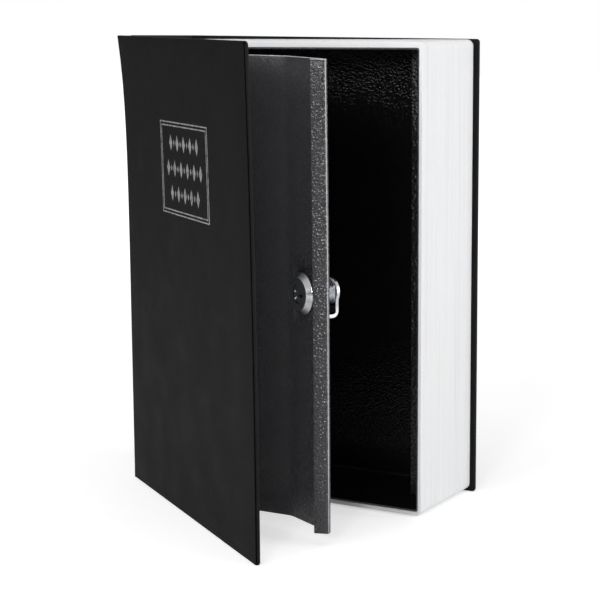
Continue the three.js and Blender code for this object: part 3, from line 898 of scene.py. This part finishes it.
# %% Steel tray
steel = 1.0 * mm
tray_corner = 1.8 * mm
rim_roll, floor_bend = 0.3 * mm, 1.2 * mm
tray_stations = rolled(rim_roll, tray_high.y, tray_low.y, 3)
tray_stations += [(steel - inset, tray_low.y + depth) for inset, depth in quarter(rim_roll, 3)]
tray_stations += [(steel + inset, tray_high.y - steel - depth) for inset, depth in quarter(floor_bend)[::-1]]
tray_rings = plate_rings(plan(tray_low), plan(tray_high), (tray_corner, tray_corner), tray_stations)
steel_tray = facing_out(new_piece("steel_tray", ring_stack(tray_rings), book_place, "book_body",
                                  "hammertone_paint", box_enamel_painted_shade, "steel_box"))


# Inside the rim the tray takes the far darker enamel, which is painted shade.
def tray_finish(middle, normal):
    return door_enamel if middle.y < tray_low.y + rim_roll else box_enamel_painted_shade


finish_faces(steel_tray, book_place, (box_enamel_painted_shade, door_enamel), tray_finish)

# %% [markdown]
# The inner door is one sheet with three bends: flat at the hinges, then a ramp down to the channel
# where the lock sits, and last a lip folded back over the channel as a finger pull. Its section is a
# path with an arc at each bend, thickened to the sheet, and swept from tail to head. The cut edges of
# sheet steel are broken before painting, so both ends of the section are round.

# %% Section of the door
door_low, door_high = extent("door_panel", door_place)
sheet = 1.0 * mm
side_clearance = 1.6 * mm
hinge_across = door_place.translation.x - book_place.translation.x
door_width = tray_high.x - steel - side_clearance - hinge_across
channel_width, channel_depth = 40 * mm, 14.4 * mm
ramp_run = 26.4 * mm
lip_back, lip_rise = 6.1 * mm, 6.6 * mm
fold_reach = 0.78 * mm
ramp_bend, channel_bend, lip_bend = 9 * mm, 12 * mm, 1.4 * mm
door_bends = (0, ramp_bend, channel_bend, lip_bend, 0)
channel_start = door_width - channel_width
ramp_start = channel_start - ramp_run
lip_direction = Vector((-lip_back - fold_reach, -lip_rise)).normalized()
door_corners = (
    Vector((door_low.x + sheet / 2, 0)),
    Vector((ramp_start, 0)),
    Vector((channel_start, channel_depth)),
    Vector((door_width + fold_reach, channel_depth)),
    Vector((door_width - lip_back, channel_depth - lip_rise)) - lip_direction * sheet / 2,
)


def bent(offset, steps=9):
    """The door's path, moved to the left by the offset, with an arc at each inner corner."""
    path = []
    last = len(door_corners) - 1
    for index, corner in enumerate(door_corners):
        behind = (door_corners[max(index, 1)] - door_corners[max(index - 1, 0)]).normalized()
        ahead = (door_corners[min(index + 1, last)] - door_corners[min(index, last - 1)]).normalized()
        bend = math.atan2(behind.x * ahead.y - behind.y * ahead.x, behind.dot(ahead))
        left = Vector((-behind.y, behind.x))
        mitre = corner + (Matrix.Rotation(bend / 2, 2) @ left) * (offset / math.cos(bend / 2))
        if not 0 < index < last:
            path.append(mitre)
            continue
        radius = door_bends[index] - math.copysign(offset, bend)
        spoke = -left * math.copysign(radius, bend)
        centre = mitre - behind * (radius * math.tan(abs(bend) / 2)) - spoke
        path += [centre + Matrix.Rotation(bend * step / steps, 2) @ spoke for step in range(steps + 1)]
    return path


def round_end(first, second, steps=6):
    """Points of a half circle from first to second, bulging to the right of that direction."""
    centre = (first + second) / 2
    return [centre + Matrix.Rotation(math.pi * step / steps, 2) @ (first - centre)
            for step in range(1, steps)]


def sheet_section(inset):
    front, back = bent(inset), bent(sheet - inset)
    return front + round_end(front[-1], back[-1]) + back[::-1] + round_end(back[0], front[0])


# %% [markdown]
# The door's head is cut a little out of square, and above the lock the sheet is twisted toward the
# front, so that the lip leans out. Both show in the photograph as lines that aren't quite parallel.
# The sheet is therefore swept in bands, and each ring is moved by its own height and lean.

# %% Door sheet
sheet_roll = 0.45 * mm
head_excess, lip_excess = 1.85 * mm, 0.3 * mm
lean_start, lean_at_head, lean_bands = 145 * mm, 0.9 * mm, 12


def head_height(across):
    """The head edge falls from the ramp to the lip."""
    return door_high.z + between(head_excess, lip_excess, share_between(across, ramp_start, door_width))


def lean_at(across, height):
    above = max(0, (height - lean_start) / (door_high.z - lean_start))
    return lean_at_head * above * across / door_width


def sheet_ring(inset, share, lift):
    """The section at a share of the door's height, moved up by the lift and drawn in by the inset."""
    ring = []
    for point in sheet_section(inset):
        height = between(door_low.z, head_height(point.x), share) + lift
        ring.append((point.x, point.y - lean_at(point.x, height), height))
    return ring


door_rings = [sheet_ring(inset, 0, depth) for inset, depth in quarter(sheet_roll, 3)]
door_rings += [sheet_ring(0, band / lean_bands, 0) for band in range(1, lean_bands)]
door_rings += [sheet_ring(inset, 1, -depth) for inset, depth in quarter(sheet_roll, 3)[::-1]]
door_sheet = facing_out(new_piece("door_sheet", ring_stack(door_rings), door_place, "inner_door",
                                  "hammertone_paint", door_enamel, "door_panel"))

# %% [markdown]
# The faces of the cut head that look upward get a pale painted highlight, and so do the faces of the
# lip's fold that look straight sideways. The lip itself was sprayed more thickly, so its dimples are
# deeper; its darker enamel is painted shade. Each face is judged by its place on the sheet and its direction.

# %% Painted highlights and shade on the door
head_highlight_depth = 0.5 * mm
facing_up, facing_sideways = 0.3, 0.991


# Pale faces of the head and of the lip's fold are painted highlights; the lip's darker enamel is painted
# shade.
def door_finish(middle, normal):
    if middle.z > head_height(middle.x) - head_highlight_depth and normal.z > facing_up:
        return head_edge_painted_highlight
    past_lock = middle.x > door_width - lip_back - sheet
    if past_lock and normal.x > facing_sideways:
        return lip_fold_painted_highlight
    return lip_enamel_painted_shade if past_lock and middle.y < channel_depth - sheet / 2 else door_enamel


finish_faces(door_sheet, door_place, (door_enamel, head_edge_painted_highlight, lip_enamel_painted_shade, lip_fold_painted_highlight), door_finish)

# %% [markdown]
# Most of the lock is round about one axis, so it is made as on a lathe: a profile of radius and depth
# is carried round that axis. The lock's place has its origin on the channel floor, with Y into the
# box, and its sizes are millimetres from here on. Each record slot has one usual finish, so a table
# holds them.

# %% Helpers for turned pieces
lock_sides = 72
lock_finishes = {"lock_chrome": chrome, "lock_gunmetal": gunmetal, "zinc_plate": zinc}


def ring_about(depth, radius_at):
    """A ring about the lock's axis whose radius follows the angle."""
    ring = []
    for step in range(lock_sides):
        angle = 2 * math.pi * step / lock_sides
        radius = radius_at(angle)
        ring.append((radius * math.cos(angle), depth, radius * math.sin(angle)))
    return ring


def circles(*profile):
    """Rings of a turned piece, from its profile of radius and depth."""
    return [ring_about(depth, lambda angle: radius) for radius, depth in profile]


def lock_piece(name, shape, body, slot, *nodes, outward=facing_out):
    return outward(new_piece(name, shape, lock_place, body, slot, lock_finishes[slot], *nodes))


def alike_facing(piece):
    """Makes neighbouring faces agree on which side is out, where a shape came from several parts."""
    work = bmesh.new()
    work.from_mesh(piece.data)
    bmesh.ops.recalc_face_normals(work, faces=work.faces)
    work.to_mesh(piece.data)
    work.free()
    return piece


def with_recess(outer_rings, recess_rings):
    """A solid whose flat end has a hole of any outline sunk into it."""
    outer_points, outer_faces = ring_stack(outer_rings)
    recess_points, recess_faces = ring_stack(recess_rings)
    outer_faces.pop()
    del recess_faces[-2]
    rim, mouth = outer_rings[-1], recess_rings[0]
    flat = [[Vector((x, z, 0)) for x, _, z in loop] for loop in (rim, mouth)]
    rim_start, mouth_start = len(outer_points) - len(rim), len(outer_points)
    order = [*range(rim_start, rim_start + len(rim)), *range(mouth_start, mouth_start + len(mouth))]
    annulus = [tuple(order[index] for index in triangle) for triangle in tessellate_polygon(flat)]
    walls = [tuple(mouth_start + index for index in face) for face in recess_faces]
    return outer_points + recess_points, outer_faces + annulus + walls


# %% [markdown]
# The hole for the lock is punched through the channel. A Boolean modifier takes a plain cylinder away,
# which is simpler here than building the rings of the sheet round a hole.

# %% Lock hole
hole_radius = 8.3
punch_start, punch_end = -2.0, 3.0


def punched(piece, cutter_shape):
    """Takes a closed shape away from a piece, and removes the cutter afterwards."""
    points, faces = cutter_shape
    mesh = bpy.data.meshes.new("punch")
    mesh.from_pydata([lock_place @ Vector(point) for point in points], [], faces)
    cutter = facing_out(bpy.data.objects.new("punch", mesh))
    bpy.context.scene.collection.objects.link(cutter)
    punch = piece.modifiers.new("punch", "BOOLEAN")
    punch.operation, punch.solver, punch.object = "DIFFERENCE", "EXACT", cutter
    with bpy.context.temp_override(object=piece, active_object=piece):
        bpy.ops.object.modifier_apply(modifier=punch.name)
    bpy.data.objects.remove(cutter)
    print("punched:", len(piece.data.polygons), "faces")


punched(door_sheet, ring_stack(circles((hole_radius, punch_start), (hole_radius, punch_end))))

# %% [markdown]
# The housing is one die-casting: a bevelled head that lies on the door and a threaded barrel with two
# flats that passes through it. The thread is a true helix: each ring of the barrel is turned a little
# further than the last, and the flats cut its crests away. Two spare rings close to the ends of the
# bevel keep its shading flat, as a real bevel's is.

# %% Lock housing
bezel_radius, bezel_top_radius, face_radius = 11.6, 8.8, 8.3
bezel_foot, bezel_top, face_seat = -0.02, -3.3, -2.5
bezel_rim = 0.55
plug_bore = 5.3
barrel_radius, barrel_flat, barrel_end = 8.0, 7.1, 16.5
thread_pitch, thread_depth, thread_start, thread_runout = 1.0, 0.42, 0.8, 0.4
steps_per_turn = 8
small_break, edge_break, mouth_break, bore_break, end_break = 0.05, 0.1, 0.12, 0.2, 0.3
bevel_start = Vector((bezel_top_radius + 0.06, bezel_top + 0.08))
bevel_end = Vector((bezel_radius - 0.12, bezel_foot - 0.72))
near_start_share, near_end_share = 0.06, 0.94
barrel_end_share = 0.96
rim_margin = 0.01


def barrel_ring(depth):
    thread_end = barrel_end - thread_runout
    fade = min(share_between(depth, thread_start, thread_start + thread_pitch),
               share_between(depth, thread_end, thread_end - thread_pitch))

    def radius_at(angle):
        wave = math.cos(2 * math.pi * depth / thread_pitch - angle)
        return barrel_radius - thread_depth * (0.5 - 0.5 * wave) * fade

    return [(max(-barrel_flat, min(barrel_flat, x)), depth, z) for x, _, z in ring_about(depth, radius_at)]


def housing_rings():
    rings = circles(
        (plug_bore, barrel_end - bore_break), (plug_bore, face_seat),
        (plug_bore + small_break, face_seat - small_break), (face_radius, face_seat - small_break),
        (face_radius, bezel_top + mouth_break), (face_radius + edge_break, bezel_top),
        (bezel_top_radius - edge_break, bezel_top), bevel_start,
        between(bevel_start, bevel_end, near_start_share), between(bevel_start, bevel_end, near_end_share),
        bevel_end, (bezel_radius, bezel_foot - bezel_rim), (bezel_radius, bezel_foot - edge_break),
        (bezel_radius - edge_break, bezel_foot))
    count = round((barrel_end - end_break - bezel_foot) / thread_pitch * steps_per_turn)
    rings += [barrel_ring(bezel_foot + step * thread_pitch / steps_per_turn) for step in range(count + 1)]
    rings.append([(x * barrel_end_share, barrel_end, z * barrel_end_share)
                  for x, _, z in barrel_ring(barrel_end - end_break)])
    return rings + circles((plug_bore + bore_break, barrel_end))


def housing_finish(middle, normal):
    """The barrel is dull plate; the seat under the face is dark, and the rim under the bevel dark as painted
    shade.
    """
    if middle.y > thread_start:
        return barrel_metal
    radius = math.hypot(middle.x, middle.z)
    on_seat = middle.y < 0 and radius < bezel_top_radius
    rim_in_painted_shade = bevel_end.y - rim_margin < middle.y < 0 and radius > bevel_end.x - rim_margin
    return gunmetal if on_seat or rim_in_painted_shade else chrome


lock_head = lock_piece("lock_head_and_barrel", ring_stack(housing_rings(), looped=True), "inner_door",
                       "lock_chrome", "lock_housing")
finish_faces(lock_head, lock_place, (chrome, barrel_metal, gunmetal), housing_finish)

# %% [markdown]
# Inside the bezel lies a thin dark face ring, and in its middle the plug with the keyway. A keyway is
# a deep slot; its shutter shows as two small bright facets above and below the slot's waist, and the
# rest of the slot is painted near black as shade.

# %% Lock face, plug and keyway
face_gap, face_thickness, face_break = 0.1, 0.6, 0.08
plug_radius = 5.0
plug_end, tail_half, tail_sunk, tail_end = 16.8, 2.7, 0.5, 19.22
plug_recess = 0.9
keyway_drop, keyway_depth, shoulder_depth = 0.8, 12.0, 1.7
facet_from, facet_past = 0.9, -1.6
inside_margin = 0.2
face_front = face_seat - face_gap - face_thickness
plug_front = bezel_top + plug_recess
lock_piece("lock_face_ring", ring_stack(circles(
    (plug_bore, face_front + small_break), (plug_bore + face_break, face_front),
    (face_radius - face_gap - face_break, face_front), (face_radius - face_gap, face_front + small_break),
    (face_radius - face_gap, face_seat - face_gap), (plug_bore, face_seat - face_gap)),
    looped=True), "inner_door", "lock_gunmetal", "lock_face")

# The upper half of the keyway's outline, from the right end to the left, at its mouth and in its throat
mouth_half = ((4.0, 0.95), (2.6, 0.95), (1.5, 0.45), (-1.2, 0.55), (-2.4, 1.9), (-3.5, 2.8), (-4.3, 1.7))
throat_half = ((4.0, 0.95), (2.6, 0.95), (1.5, 0.45), (-0.9, 0.45), (-1.1, 0.7), (-1.7, 1.1), (-2.4, 0.7))


def keyway_ring(half_outline, depth):
    lower = [(across, -up) for across, up in reversed(half_outline)]
    return [(across, depth, up - keyway_drop) for across, up in (*half_outline, *lower)]


def plug_finish(middle, normal):
    """Inside the slot all is painted shade but the shutter's facets, which lie above and below its waist."""
    in_slot = math.hypot(middle.x, middle.z) < plug_radius - inside_margin
    if not (in_slot and middle.y > plug_front + inside_margin):
        return gunmetal
    facet = middle.y < plug_front + shoulder_depth and middle.x < facet_past
    return chrome if facet and abs(middle.z + keyway_drop) > facet_from else keyway_painted_shade


plug_outside = circles((plug_radius, plug_end), (plug_radius, plug_front + edge_break),
                       (plug_radius - edge_break, plug_front))
keyway_rings = [keyway_ring(mouth_half, plug_front), keyway_ring(throat_half, plug_front + shoulder_depth),
                keyway_ring(throat_half, plug_front + keyway_depth)]
lock_plug = lock_piece("plug_with_keyway", with_recess(plug_outside, keyway_rings), "lock_plug",
                       "lock_gunmetal", "lock_plug", outward=alike_facing)
finish_faces(lock_plug, lock_place, (gunmetal, chrome, keyway_painted_shade), plug_finish)
tail_corners = [(x * tail_half, z * tail_half) for x, z in ((1, -1), (1, 1), (-1, 1), (-1, -1))]
lock_piece("plug_square_tail", ring_stack([[(x, depth, z) for x, z in tail_corners]
                                           for depth in (plug_end - tail_sunk, tail_end)]),
           "lock_plug", "lock_gunmetal", "lock_plug")

# %% [markdown]
# Behind the door a hexagon nut clamps the lock. A nut's corners are turned off to a cone on each face,
# so each ring is the hexagon cut down to the cone's radius at that depth.

# %% Nut
nut_corner_radius = 11.55
nut_start, nut_end = 1.02, 4.7
nut_bore = 8.1
cone_slope, cone_start = 1.73, 0.15
cone_steps = 4


def nut_ring(depth):
    apothem = nut_corner_radius * math.cos(math.pi / 6)
    cone_radius = apothem - cone_start + min(depth - nut_start, nut_end - depth) * cone_slope

    def radius_at(angle):
        from_flat = angle % (math.pi / 3) - math.pi / 6
        return min(apothem / math.cos(from_flat), cone_radius)

    return ring_about(depth, radius_at)


cone_depths = [step / cone_steps for step in range(cone_steps + 1)]
nut_depths = [nut_start + depth for depth in cone_depths] + [nut_end - depth for depth in cone_depths[::-1]]
nut_rings = [nut_ring(depth) for depth in nut_depths]
nut_rings += circles((nut_bore + end_break, nut_end), (nut_bore, nut_end - end_break),
                     (nut_bore, nut_start + end_break), (nut_bore + end_break, nut_start))
lock_piece("hexagon_nut", ring_stack(nut_rings, looped=True), "inner_door", "zinc_plate", "lock_nut")

# %% [markdown]
# The cam is a stamping: a round head on the plug's tail and an arm whose end is bent toward the door,
# so that it can hook behind the strike. It is drawn as a strip of changing width that follows the bend.
# Each station has a place, the direction the strip runs in, and half its width there.

# %% Cam
cam_front, cam_thickness = 17.1, 2.1
cam_head_radius, cam_half_width = 7.3, 6.0
cam_reach, cam_hook = 13.9, 6.7
cam_bend_radius, cam_roll = 3.7, 0.35
cam_back = cam_front + cam_thickness
head_steps, bend_steps = 18, 10


def cam_stations():
    """Depth and height on the strip's back face, its run as an angle, and its half width."""
    widest = math.pi - math.asin(cam_half_width / cam_head_radius)
    for step in range(1, head_steps + 1):
        angle = widest * step / head_steps
        yield cam_back, cam_head_radius * math.cos(angle), 0.0, cam_head_radius * math.sin(angle)
    for step in range(bend_steps + 1):
        turned_by = math.pi / 2 * step / bend_steps
        depth = cam_back - cam_bend_radius * (1 - math.cos(turned_by))
        yield depth, -cam_reach + cam_bend_radius * (1 - math.sin(turned_by)), turned_by, cam_half_width
    yield cam_back - cam_hook + cam_roll, -cam_reach, math.pi / 2, cam_half_width


def cam_ring(depth, height, turned_by, half_width, inset=0.0):
    outline = rounded_rectangle((-half_width, 0), (half_width, cam_thickness), (cam_roll, cam_roll), inset)
    return [(across, depth - math.cos(turned_by) * deep, height + math.sin(turned_by) * deep)
            for across, deep in outline]


cam_rings = [cam_ring(*station) for station in cam_stations()]
cam_rings.append(cam_ring(cam_back - cam_hook, -cam_reach, math.pi / 2, cam_half_width, inset=cam_roll))
lock_piece("cam_with_hook", ring_stack(cam_rings), "lock_plug", "zinc_plate", "lock_cam")

# %% [markdown]
# A washer and a cross-recess screw hold the cam on the plug. The recess is what makes a small disc
# read as a screw, so it is sunk into the head as a real cross.

# %% Washer and screw
washer_radius, washer_bore, washer_back, washer_gap, washer_break = 4.2, 1.8, 20.0, 0.03, 0.15
screw_head_radius, screw_flat, screw_top, screw_gap = 2.9, 2.0, 21.75, 0.02
screw_rim, dome_break, dome_low, dome_high = 0.7, 0.15, 0.55, 0.2
cross_arm, cross_half, cross_depth, cross_foot_share = 1.6, 0.35, 1.1, 0.7
washer_front = cam_back + washer_gap
lock_piece("cam_washer_ring", ring_stack(circles(
    (washer_bore, washer_front), (washer_radius - edge_break, washer_front),
    (washer_radius, washer_front + edge_break), (washer_radius, washer_back - washer_break),
    (washer_radius - washer_break, washer_back), (washer_bore, washer_back)),
    looped=True), "lock_plug", "zinc_plate", "cam_washer")

cross = ((cross_half, -cross_arm), (cross_half, -cross_half), (cross_arm, -cross_half))
cross_outline = [(x * math.cos(angle) - z * math.sin(angle), x * math.sin(angle) + z * math.cos(angle))
                 for angle in (0, math.pi / 2, math.pi, math.pi * 1.5) for x, z in cross]
screw_outside = circles(
    (screw_head_radius - edge_break, washer_back - screw_gap), (screw_head_radius, washer_back + edge_break),
    (screw_head_radius, washer_back + screw_rim), (screw_head_radius - dome_break, screw_top - dome_low),
    (screw_head_radius - 3 * dome_break, screw_top - dome_high), (screw_flat, screw_top))
cross_rings = [[(x * share, depth, z * share) for x, z in cross_outline]
               for share, depth in ((1, screw_top), (cross_foot_share, screw_top - cross_depth))]
lock_piece("cross_recess_screw", with_recess(screw_outside, cross_rings), "lock_plug", "zinc_plate",
           "cam_screw", outward=alike_facing)

# %% [markdown]
# The strike angle, the back endpaper, the spine board, the hinge leaves and the pins are plain enough
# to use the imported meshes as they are. Their edges are razor sharp, which no real edge is, so a small
# bevel is added as a modifier, after a weld that joins the faces.

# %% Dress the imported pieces
edge_softness = {"strike_angle": 0.25 * mm, "back_endpaper": 0.08 * mm, "spine_board": 0.2 * mm}
usual_softness = 0.15 * mm
dressed = {"strike_angle": strike_enamel_painted_shade, "back_endpaper": endpaper, "spine_board": board}
for side in ("upper", "lower"):
    dressed[f"box_hinge_leaf_{side}"] = box_enamel_painted_shade
    dressed[f"door_hinge_leaf_{side}"] = door_enamel
    dressed[f"hinge_pin_{side}"] = zinc
for name, finish in dressed.items():
    node = frame["nodes"][name]
    node.data.materials.clear()
    node.data.materials.append(finish)
    weld = node.modifiers.new("weld", "WELD")
    weld.merge_threshold = 0.001 * mm
    soften = node.modifiers.new("soften", "BEVEL")
    soften.width = edge_softness.get(name, usual_softness)
    soften.segments = 3
    soften.limit_method = "ANGLE"
    soften.angle_limit = math.radians(40)
    soften.harden_normals = True
print("dressed", len(dressed), "packed pieces")

# %% [markdown]
# The stand is a pale floor without an edge in sight, and the world is white to the camera, but both
# light the object only gently. To a mirror one side is dark: a product studio sets a black card there,
# so that gloss and metal have something dark to show beside the white, and don't look like chalk.

# %% Floor
floor_half = 6.0
dark_side, dark_share = Vector((-0.6, -0.8, 0)), 0.03
near_lift, far_lift, lift_span = 0.5, 1.0, (0.25, 1.2)
card_edge = (-0.05, 0.12)


def chosen(tree, share, first, second):
    """The first value where the share is nought, and the second where it is one."""
    return add(tree, "Mix", {0: share, 2: first, 3: second}, data_type="FLOAT").outputs[0]


floor_finish, tree, shader = material("floor_paper", Roughness=0.9, Specular_IOR_Level=0.1,
                                      Emission_Color=(1, 1, 1, 1))
where = place_in(tree)
sight = add(tree, "LightPath").outputs
from_middle = add(tree, "VectorMath", {0: where}, operation="LENGTH").outputs["Value"]
lift = scaled(tree, from_middle, lift_span, (near_lift, far_lift), smooth=True)
card = scaled(tree, toward(tree, where, dark_side), card_edge, (1.0, dark_share), smooth=True)
seen_lift = computed(tree, "MULTIPLY", lift, chosen(tree, sight["Is Glossy Ray"], 1.0, card))
looks = computed(tree, "MAXIMUM", sight["Is Camera Ray"], sight["Is Glossy Ray"])
looks = computed(tree, "MAXIMUM", looks, sight["Is Transmission Ray"])
feed(tree, shader, Base_Color=blended(tree, noise(tree, where, 8, 3), (0.8, 0.8, 0.8), (0.82, 0.82, 0.82)),
     Emission_Strength=computed(tree, "MULTIPLY", seen_lift, looks))

floor_mesh = bpy.data.meshes.new("floor")
floor_mesh.from_pydata([(x * floor_half, y * floor_half, 0) for x, y in ((-1, -1), (1, -1), (1, 1), (-1, 1))],
                       [], [(0, 1, 2, 3)])
floor_mesh.materials.append(floor_finish)
floor = bpy.data.objects.new("floor", floor_mesh)
bpy.context.scene.collection.objects.link(floor)

# %% [markdown]
# The world is set by the kind of ray: plain white for the camera, white with the dark card for mirrors
# and glass, and a weak grey for all light that falls on the object.

# %% World
world_light = 0.22
sky_card_edge = (-0.6, 0.3)
world = bpy.data.worlds.new("studio")
bpy.context.scene.world = world
world.use_nodes = True
sky = world.node_tree
sky.nodes.clear()
looking = add(sky, "TexCoord").outputs["Generated"]
mirrored = scaled(sky, toward(sky, looking, dark_side), sky_card_edge, (1.0, dark_share))
path = add(sky, "LightPath").outputs
mirrors = computed(sky, "MAXIMUM", path["Is Glossy Ray"], path["Is Transmission Ray"])
strength = chosen(sky, path["Is Camera Ray"], chosen(sky, mirrors, world_light, mirrored), 1.0)
glow = add(sky, "Background", {"Color": (1, 1, 1, 1), "Strength": strength})
add(sky, "OutputWorld", {"Surface": glow.outputs[0]})

# %% [markdown]
# Area lamps have a size, so their shadows have soft edges, and each is aimed at the middle of the book.
# The key is large and stands front left; a small lamp between it and the camera makes the glints on
# the lip and inside the box; a large one on the right lights the page edges, and one hangs above.

# %% Lamps
aim = Vector((0, -0.04, 0.13))
lamps = {
    "key": ((-0.52, -1.38, 0.62), (1.0, 0.8), 9.8),
    "glint": ((0.40, -1.48, 0.58), (0.24, 0.2), 5.2),
    "side": ((1.65, 0.2, 0.5), (1.0, 1.0), 14),
    "top": ((0.0, -0.3, 1.8), (1.4, 1.4), 10),
}
for name, (place, size, watts) in lamps.items():
    lamp_data = bpy.data.lights.new(name, "AREA")
    lamp_data.shape = "RECTANGLE"
    lamp_data.size, lamp_data.size_y = size
    lamp_data.energy = watts
    lamp = bpy.data.objects.new(name, lamp_data)
    lamp.location = place
    lamp.rotation_euler = (aim - lamp.location).to_track_quat("-Z", "Y").to_euler()
    bpy.context.scene.collection.objects.link(lamp)
print("lamps:", list(lamps))

# %% [markdown]
# With the Standard view transform colours come out about as written, so the finishes can be judged in
# other light too.

# %% View settings
scene = bpy.context.scene
scene.render.resolution_x = image_size
scene.render.resolution_y = image_size
scene.view_settings.view_transform = "Standard"
